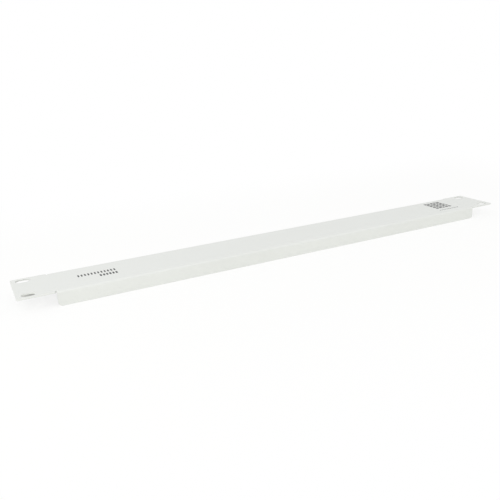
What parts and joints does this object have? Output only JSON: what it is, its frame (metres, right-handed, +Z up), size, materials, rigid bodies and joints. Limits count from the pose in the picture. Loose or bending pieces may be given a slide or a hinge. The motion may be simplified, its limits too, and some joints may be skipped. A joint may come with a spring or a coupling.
{
  "type": "rack blanking panel",
  "caption": "Folded sheet-steel blanking panel that closes one unit of a 19 inch rack, with a return flange along each long side and round-ended slots in its ears.",
  "frame": {"origin": "middle of the panel, on the surface that the flanges' free edges rest on", "axes": "+X along the panel from ear to ear, +Y across its height, +Z up out of the front face, so the rack's rails meet the ears from below"},
  "size_m": [0.4826, 0.0436, 0.012],
  "materials": {
    "powder_coat": "light grey powder coat, satin, very fine texture"
  },
  "bodies": {
    "root": {"blanking_panel": "powder_coat"}
  },
  "joints": []
}
